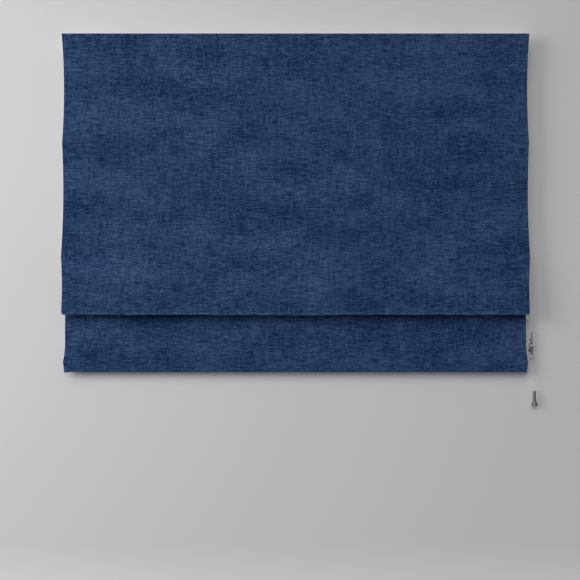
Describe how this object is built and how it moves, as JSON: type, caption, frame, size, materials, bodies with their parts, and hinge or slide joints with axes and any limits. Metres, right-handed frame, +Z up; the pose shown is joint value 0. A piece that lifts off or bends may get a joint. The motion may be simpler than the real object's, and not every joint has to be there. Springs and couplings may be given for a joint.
{
  "type": "roman blind",
  "caption": "Wall-fixed roman blind in navy cloth on a slotted headrail, drawn up to a soft pleat by lift cords, with a cord lock, rod pockets, a weighted hem and a cleat.",
  "frame": {"origin": "on the wall's surface, at the centre of the bracket screw pattern", "axes": "+X along the headrail to the cord side, +Y into the wall, +Z up"},
  "size_m": [1.2317, 0.0578, 0.9575],
  "materials": {
    "face_cloth": "navy chenille weave with cross slubs",
    "lining_cloth": "cream cotton sateen",
    "white_tape": "woven white tape",
    "white_powder_coat": "white powder coat",
    "white_plastic": "moulded white",
    "roller_plastic": "turned acetal",
    "clear_plastic": "pale milky moulding",
    "steel": "zinc plated",
    "fibreglass": "pultruded, off white",
    "bar_aluminium": "mill finish",
    "cord": "braided polyester",
    "chrome": "polished plate"
  },
  "bodies": {
    "blind": {"acorn": "chrome", "bottom_bar": "bar_aluminium", "bottom_bar_caps": "white_plastic", "bracket_left": "steel", "bracket_right": "steel", "cleat": "chrome", "cord_guide_centre": "white_plastic", "cord_guide_left": "white_plastic", "cord_guide_right": "white_plastic", "cord_joiner": "clear_plastic", "cord_lock": "white_plastic", "cord_rings": "clear_plastic", "draw_cord": "cord", "end_cap_left": "white_plastic", "end_cap_right": "white_plastic", "face_fabric": "face_cloth", "guide_pin_centre": "steel", "guide_pin_left": "steel", "guide_pin_right": "steel", "headrail": "white_powder_coat", "hook_tape": "white_tape", "lift_cord_centre": "cord", "lift_cord_left": "cord", "lift_cord_right": "cord", "lining": "lining_cloth", "lock_roller_pin": "steel", "loop_tape": "white_tape", "rod_end_caps": "white_plastic", "rod_lower": "fibreglass", "rod_middle": "fibreglass", "rod_tape_lower": "white_tape", "rod_tape_middle": "white_tape", "rod_tape_upper": "white_tape", "rod_upper": "fibreglass"},
    "guide_roller_left": {"guide_roller_left": "roller_plastic"},
    "guide_roller_centre": {"guide_roller_centre": "roller_plastic"},
    "guide_roller_right": {"guide_roller_right": "roller_plastic"},
    "lock_roller": {"lock_roller": "roller_plastic"},
    "lock_pin": {"lock_pin": "steel"},
    "bracket_cam_left": {"bracket_cam_left": "steel"},
    "bracket_cam_right": {"bracket_cam_right": "steel"}
  },
  "joints": [
    {"name": "guide_roller_left_spin", "type": "hinge", "parent": "blind", "child": "guide_roller_left", "pos_m": [-0.49405, -0.03, 0], "axis": [0, 1, 0], "continuous": true},
    {"name": "guide_roller_centre_spin", "type": "hinge", "parent": "blind", "child": "guide_roller_centre", "pos_m": [0.00595, -0.03, 0], "axis": [0, 1, 0], "continuous": true},
    {"name": "guide_roller_right_spin", "type": "hinge", "parent": "blind", "child": "guide_roller_right", "pos_m": [0.50595, -0.03, 0], "axis": [0, 1, 0], "continuous": true},
    {"name": "lock_roller_spin", "type": "hinge", "parent": "blind", "child": "lock_roller", "pos_m": [0.57805, -0.03, 0], "axis": [0, 1, 0], "continuous": true},
    {"name": "lock_pin_slide", "type": "slide", "parent": "blind", "child": "lock_pin", "axis": [0.5736, 0, 0.8192], "range_m": [0, 0.004]},
    {"name": "bracket_cam_left_turn", "type": "hinge", "parent": "blind", "child": "bracket_cam_left", "pos_m": [-0.42, -0.024, 0.016], "axis": [0, 0, 1], "range_deg": [0, 90]},
    {"name": "bracket_cam_right_turn", "type": "hinge", "parent": "blind", "child": "bracket_cam_right", "pos_m": [0.42, -0.024, 0.016], "axis": [0, 0, 1], "range_deg": [0, 90]}
  ],
  "couplings": [
    {"joint": "guide_roller_centre_spin", "follows": "guide_roller_left_spin", "ratio": 1},
    {"joint": "guide_roller_right_spin", "follows": "guide_roller_left_spin", "ratio": 1},
    {"joint": "lock_roller_spin", "follows": "guide_roller_left_spin", "ratio": 1}
  ]
}
